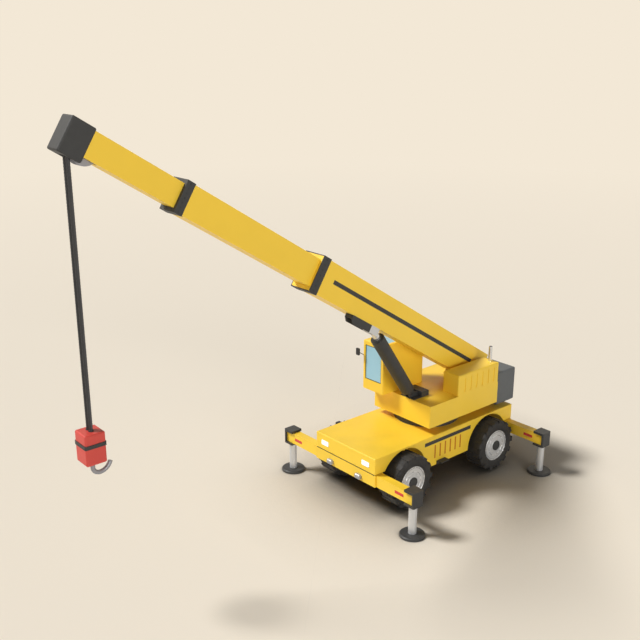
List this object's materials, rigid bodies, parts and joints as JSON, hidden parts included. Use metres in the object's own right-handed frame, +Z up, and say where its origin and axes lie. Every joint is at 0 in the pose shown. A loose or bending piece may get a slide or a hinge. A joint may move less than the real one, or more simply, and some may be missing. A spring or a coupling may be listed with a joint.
{
  "type": "mobile crane",
  "caption": "Two-axle mobile crane on outriggers, with a slewing upper structure, operator's cab, telescopic boom, luffing cylinder, hoist line and hook block.",
  "frame": {"origin": "on the ground, under the middle of the whole crane's box with its boom out forward", "axes": "+X forward along the boom, +Y to the crane's left, +Z up"},
  "size_m": [14.7917, 6.06, 11.9037],
  "materials": {
    "ballast_grey": "matt",
    "block_red": "gloss",
    "carrier_yellow": "gloss",
    "chassis_yellow": "gloss",
    "dark_steel": "satin",
    "glass_blue": "clear",
    "hook_steel": "satin",
    "lamp_amber": "clear",
    "lamp_red": "clear",
    "lamp_white": "clear",
    "rod_chrome": "polished",
    "rope_steel": "dull",
    "rubber_black": "matt",
    "seat_cloth": "matt",
    "silver": "satin",
    "underbody": "matt"
  },
  "bodies": {
    "carrier": {"carrier_body": "carrier_yellow", "chassis": "chassis_yellow", "outrigger_box_front": "chassis_yellow", "outrigger_box_rear": "chassis_yellow", "slew_pedestal": "chassis_yellow", "axles": "underbody", "driveline": "underbody", "headlamps": "lamp_white", "bumper_lamps": "silver", "tail_lamps": "lamp_red", "side_steps": "dark_steel", "slew_ring": "dark_steel"},
    "upper": {"platform": "carrier_yellow", "counterweight": "ballast_grey", "warning_lamps": "lamp_amber", "engine_cover": "carrier_yellow", "engine_block": "underbody", "exhaust": "silver", "cab_shell": "carrier_yellow", "cab_glass": "glass_blue", "operator_seat": "seat_cloth", "mirror": "dark_steel", "boom_pivot": "carrier_yellow", "cylinder_base": "dark_steel"},
    "door": {"cab_door": "carrier_yellow", "door_glass": "glass_blue"},
    "boom": {"boom_base": "carrier_yellow", "base_collar": "dark_steel", "rod_bracket": "dark_steel"},
    "boom_middle": {"boom_mid": "carrier_yellow", "mid_collar": "dark_steel"},
    "boom_end": {"boom_tip": "carrier_yellow", "boom_head": "dark_steel"},
    "sheaves": {"head_sheaves": "hook_steel"},
    "hoist_line": {"hoist_rope": "rope_steel"},
    "block": {"hook_block": "block_red"},
    "hook": {"hook": "hook_steel"},
    "barrel": {"cylinder_barrel": "dark_steel"},
    "rod": {"cylinder_rod": "rod_chrome"},
    "knuckle_front_left": {"knuckle_front_left": "underbody"},
    "wheel_front_left": {"tyre_front_left": "rubber_black", "rim_front_left": "silver"},
    "beam_front_left": {"beam_front_left": "chassis_yellow"},
    "jack_front_left": {"jack_front_left": "silver"},
    "knuckle_front_right": {"knuckle_front_right": "underbody"},
    "wheel_front_right": {"tyre_front_right": "rubber_black", "rim_front_right": "silver"},
    "beam_front_right": {"beam_front_right": "chassis_yellow"},
    "jack_front_right": {"jack_front_right": "silver"},
    "knuckle_rear_left": {"knuckle_rear_left": "underbody"},
    "wheel_rear_left": {"tyre_rear_left": "rubber_black", "rim_rear_left": "silver"},
    "beam_rear_left": {"beam_rear_left": "chassis_yellow"},
    "jack_rear_left": {"jack_rear_left": "silver"},
    "knuckle_rear_right": {"knuckle_rear_right": "underbody"},
    "wheel_rear_right": {"tyre_rear_right": "rubber_black", "rim_rear_right": "silver"},
    "beam_rear_right": {"beam_rear_right": "chassis_yellow"},
    "jack_rear_right": {"jack_rear_right": "silver"}
  },
  "joints": [
    {"name": "slew", "type": "hinge", "parent": "carrier", "child": "upper", "pos_m": [-4.41376, 0, 2.109], "axis": [0, 0, 1], "continuous": true},
    {"name": "boom_luff", "type": "hinge", "parent": "upper", "child": "boom", "pos_m": [-6.01561, 0, 3.21419], "axis": [0, -1, 0], "range_deg": [0, 46]},
    {"name": "boom_middle_slide", "type": "slide", "parent": "boom", "child": "boom_middle", "axis": [0.8485, 0, 0.5292], "range_m": [-4.44, 1.06]},
    {"name": "boom_end_slide", "type": "slide", "parent": "boom_middle", "child": "boom_end", "axis": [0.8485, 0, 0.5292], "range_m": [-2.15, 3.3]},
    {"name": "sheave_spin", "type": "hinge", "parent": "boom_end", "child": "sheaves", "pos_m": [6.7073, 0, 11.17838], "axis": [0, 1, 0], "continuous": true},
    {"name": "line_swing", "type": "hinge", "parent": "boom_end", "child": "hoist_line", "pos_m": [6.7073, 0, 11.17838], "axis": [0, -1, 0], "range_deg": [-47, 1]},
    {"name": "hoist", "type": "slide", "parent": "hoist_line", "child": "block", "axis": [0, 0, -1], "range_m": [-5.7, 0], "deforming": ["hoist_rope"]},
    {"name": "hook_swivel", "type": "hinge", "parent": "block", "child": "hook", "pos_m": [7.0876, 0, 3.99], "axis": [0, 0, 1], "continuous": true},
    {"name": "cylinder_tilt", "type": "hinge", "parent": "upper", "child": "barrel", "pos_m": [-3.38376, 0, 2.95], "axis": [0, -1, 0], "range_deg": [-1, 49.35]},
    {"name": "rod_slide", "type": "slide", "parent": "barrel", "child": "rod", "axis": [0.565, 0, 0.8251], "range_m": [-0.005, 2.0711]},
    {"name": "cab_door_swing", "type": "hinge", "parent": "upper", "child": "door", "pos_m": [-4.13776, -1.329, 2.92], "axis": [0, 0, -1], "range_deg": [0, 80]},
    {"name": "steer_front_left", "type": "hinge", "parent": "carrier", "child": "knuckle_front_left", "pos_m": [-2.11376, 1.37, 0.9], "axis": [0, 0, 1], "range_deg": [-30, 30]},
    {"name": "wheel_spin_front_left", "type": "hinge", "parent": "knuckle_front_left", "child": "wheel_front_left", "pos_m": [-2.11376, 1.37, 0.9], "axis": [0, 1, 0], "continuous": true},
    {"name": "beam_slide_front_left", "type": "slide", "parent": "carrier", "child": "beam_front_left", "axis": [0, 1, 0], "range_m": [-0.75, 0]},
    {"name": "jack_slide_front_left", "type": "slide", "parent": "beam_front_left", "child": "jack_front_left", "axis": [0, 0, -1], "range_m": [-0.38, 0]},
    {"name": "steer_front_right", "type": "hinge", "parent": "carrier", "child": "knuckle_front_right", "pos_m": [-2.11376, -1.37, 0.9], "axis": [0, 0, 1], "range_deg": [-30.5, 30.5]},
    {"name": "wheel_spin_front_right", "type": "hinge", "parent": "knuckle_front_right", "child": "wheel_front_right", "pos_m": [-2.11376, -1.37, 0.9], "axis": [0, 1, 0], "continuous": true},
    {"name": "beam_slide_front_right", "type": "slide", "parent": "carrier", "child": "beam_front_right", "axis": [0, -1, 0], "range_m": [-0.75, 0]},
    {"name": "jack_slide_front_right", "type": "slide", "parent": "beam_front_right", "child": "jack_front_right", "axis": [0, 0, -1], "range_m": [-0.38, 0]},
    {"name": "steer_rear_left", "type": "hinge", "parent": "carrier", "child": "knuckle_rear_left", "pos_m": [-5.95376, 1.37, 0.9], "axis": [0, 0, 1], "range_deg": [-30, 30]},
    {"name": "wheel_spin_rear_left", "type": "hinge", "parent": "knuckle_rear_left", "child": "wheel_rear_left", "pos_m": [-5.95376, 1.37, 0.9], "axis": [0, 1, 0], "continuous": true},
    {"name": "beam_slide_rear_left", "type": "slide", "parent": "carrier", "child": "beam_rear_left", "axis": [0, 1, 0], "range_m": [-0.75, 0]},
    {"name": "jack_slide_rear_left", "type": "slide", "parent": "beam_rear_left", "child": "jack_rear_left", "axis": [0, 0, -1], "range_m": [-0.38, 0]},
    {"name": "steer_rear_right", "type": "hinge", "parent": "carrier", "child": "knuckle_rear_right", "pos_m": [-5.95376, -1.37, 0.9], "axis": [0, 0, 1], "range_deg": [-30.5, 30.5]},
    {"name": "wheel_spin_rear_right", "type": "hinge", "parent": "knuckle_rear_right", "child": "wheel_rear_right", "pos_m": [-5.95376, -1.37, 0.9], "axis": [0, 1, 0], "continuous": true},
    {"name": "beam_slide_rear_right", "type": "slide", "parent": "carrier", "child": "beam_rear_right", "axis": [0, -1, 0], "range_m": [-0.75, 0]},
    {"name": "jack_slide_rear_right", "type": "slide", "parent": "beam_rear_right", "child": "jack_rear_right", "axis": [0, 0, -1], "range_m": [-0.38, 0]}
  ],
  "couplings": [
    {"joint": "steer_front_right", "follows": "steer_front_left", "ratio": 1},
    {"joint": "steer_rear_right", "follows": "steer_rear_left", "ratio": 1},
    {"joint": "cylinder_tilt", "follows": "boom_luff", "ratio": 1.051},
    {"joint": "rod_slide", "follows": "boom_luff", "m_per_rad": 2.5672},
    {"joint": "line_swing", "follows": "boom_luff", "ratio": -1}
  ]
}
